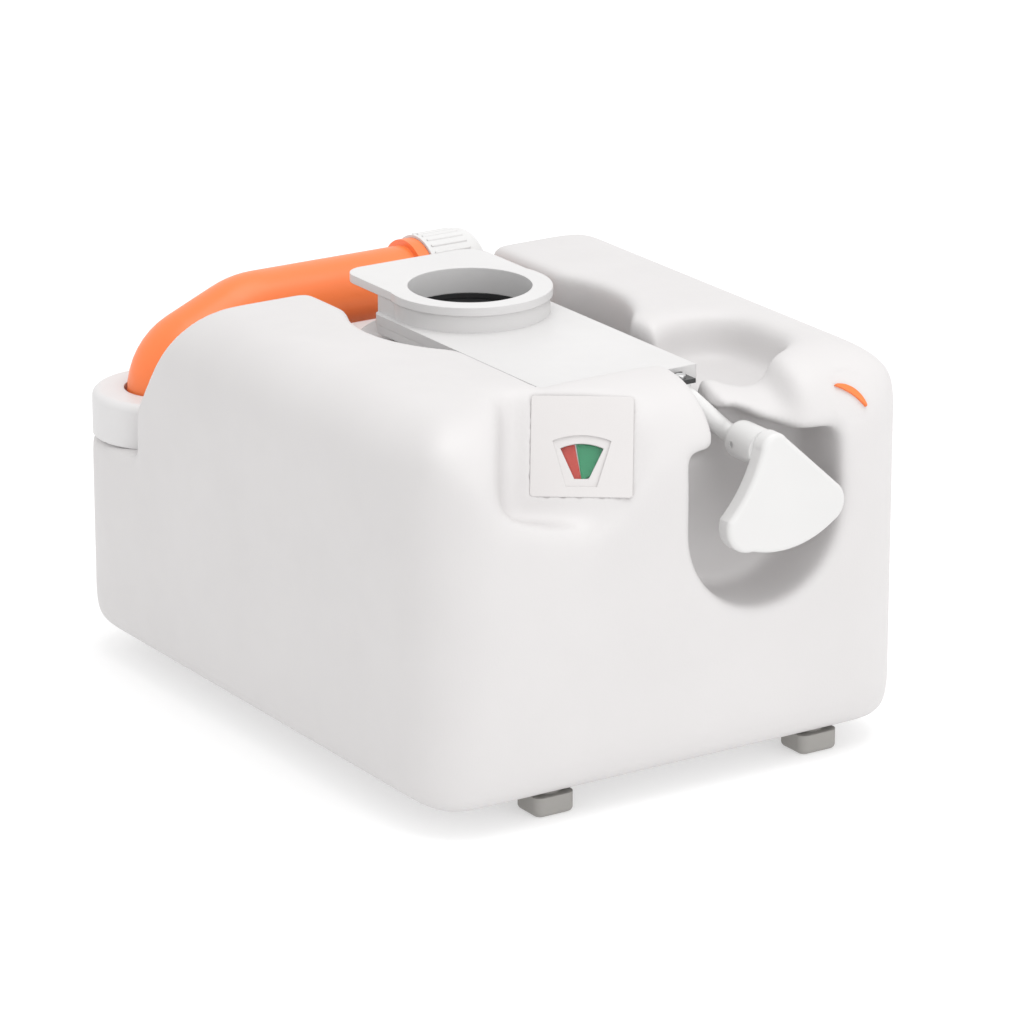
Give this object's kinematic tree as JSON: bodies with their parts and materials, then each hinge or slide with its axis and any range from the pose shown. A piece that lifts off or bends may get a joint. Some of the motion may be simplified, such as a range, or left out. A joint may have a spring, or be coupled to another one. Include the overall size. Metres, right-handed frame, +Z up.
{
  "type": "portable camp toilet waste-holding tank",
  "caption": "Moulded waste-holding tank of a portable camp toilet, with a slide valve on its neck, a swivelling capped pour-out spout, a level dial, an air vent and feet.",
  "frame": {"origin": "on the floor, under the centre of the bounding box", "axes": "+X to the right seen from the front, +Y from front to back, +Z up; the pull handle and the level dial are on the -Y side"},
  "size_m": [0.33, 0.428, 0.2468],
  "materials": {
    "tank_plastic": "fine moulded grain, low sheen",
    "seal_rubber": "smooth black rubber",
    "valve_plastic": "smooth moulded satin",
    "ring_plastic": "moulded satin with grip ribs",
    "screw_steel": "plain zinc-plated steel",
    "blade_plastic": "smooth black",
    "rod_plastic": "smooth moulded satin",
    "handle_plastic": "smooth satin gloss",
    "spout_plastic": "smooth moulded, soft gloss",
    "cap_plastic": "satin with fine grip ribs",
    "indicator_plastic": "satin moulded",
    "lens_plastic": "clear moulded",
    "dial_plastic": "plain moulded",
    "dial_red": "printed foil",
    "dial_green": "printed foil",
    "float_foam": "closed-cell foam",
    "vent_plastic": "smooth moulded, soft gloss",
    "foot_rubber": "matt moulded rubber"
  },
  "bodies": {
    "tank": {"tank_shell": "tank_plastic", "neck_gasket": "seal_rubber", "valve_lower_housing": "valve_plastic", "valve_upper_housing": "valve_plastic", "valve_screws": "screw_steel", "upper_lip_seal": "seal_rubber", "lower_lip_seal": "seal_rubber", "valve_clamp_ring": "ring_plastic", "spout_seal": "seal_rubber", "spout_collar": "ring_plastic", "indicator_tray": "indicator_plastic", "indicator_cover": "indicator_plastic", "indicator_lens": "lens_plastic", "shaft_bush": "indicator_plastic", "vent_body": "valve_plastic", "vent_seal": "seal_rubber", "foot_front_left": "foot_rubber", "foot_front_right": "foot_rubber", "foot_rear_left": "foot_rubber", "foot_rear_right": "foot_rubber"},
    "slide_valve": {"valve_blade": "blade_plastic", "valve_rod": "rod_plastic", "rod_screw": "screw_steel", "pull_handle": "handle_plastic", "handle_pin": "screw_steel"},
    "spout": {"spout_tube": "spout_plastic"},
    "cap": {"spout_cap": "cap_plastic", "cap_gasket": "seal_rubber"},
    "level_dial": {"dial_plate": "dial_plastic", "dial_red_sector": "dial_red", "dial_green_sector": "dial_green", "dial_shaft": "dial_plastic", "float_arm": "dial_plastic", "level_float": "float_foam"},
    "vent_press_button": {"vent_button": "vent_plastic", "vent_bellows": "seal_rubber"}
  },
  "joints": [
    {"name": "valve_slide", "type": "slide", "parent": "tank", "child": "slide_valve", "axis": [0, -1, 0], "range_m": [0, 0.078]},
    {"name": "spout_swivel", "type": "hinge", "parent": "tank", "child": "spout", "pos_m": [-0.121, 0.17, 0.16], "axis": [0, 0, 1], "range_deg": [0, 180]},
    {"name": "cap_off", "type": "slide", "parent": "spout", "child": "cap", "axis": [1, 0, 0], "range_m": [0, 0.035]},
    {"name": "level_float_swing", "type": "hinge", "parent": "tank", "child": "level_dial", "pos_m": [-0.05648, -0.18511, 0.19317], "axis": [0.5064, 0.7233, -0.4695], "range_deg": [0, 38]},
    {"name": "vent_press", "type": "slide", "parent": "tank", "child": "vent_press_button", "axis": [0, 0.8387, -0.5446], "range_m": [0, 0.003], "stiffness_N_per_m": 400, "springref_m": -0.003}
  ]
}
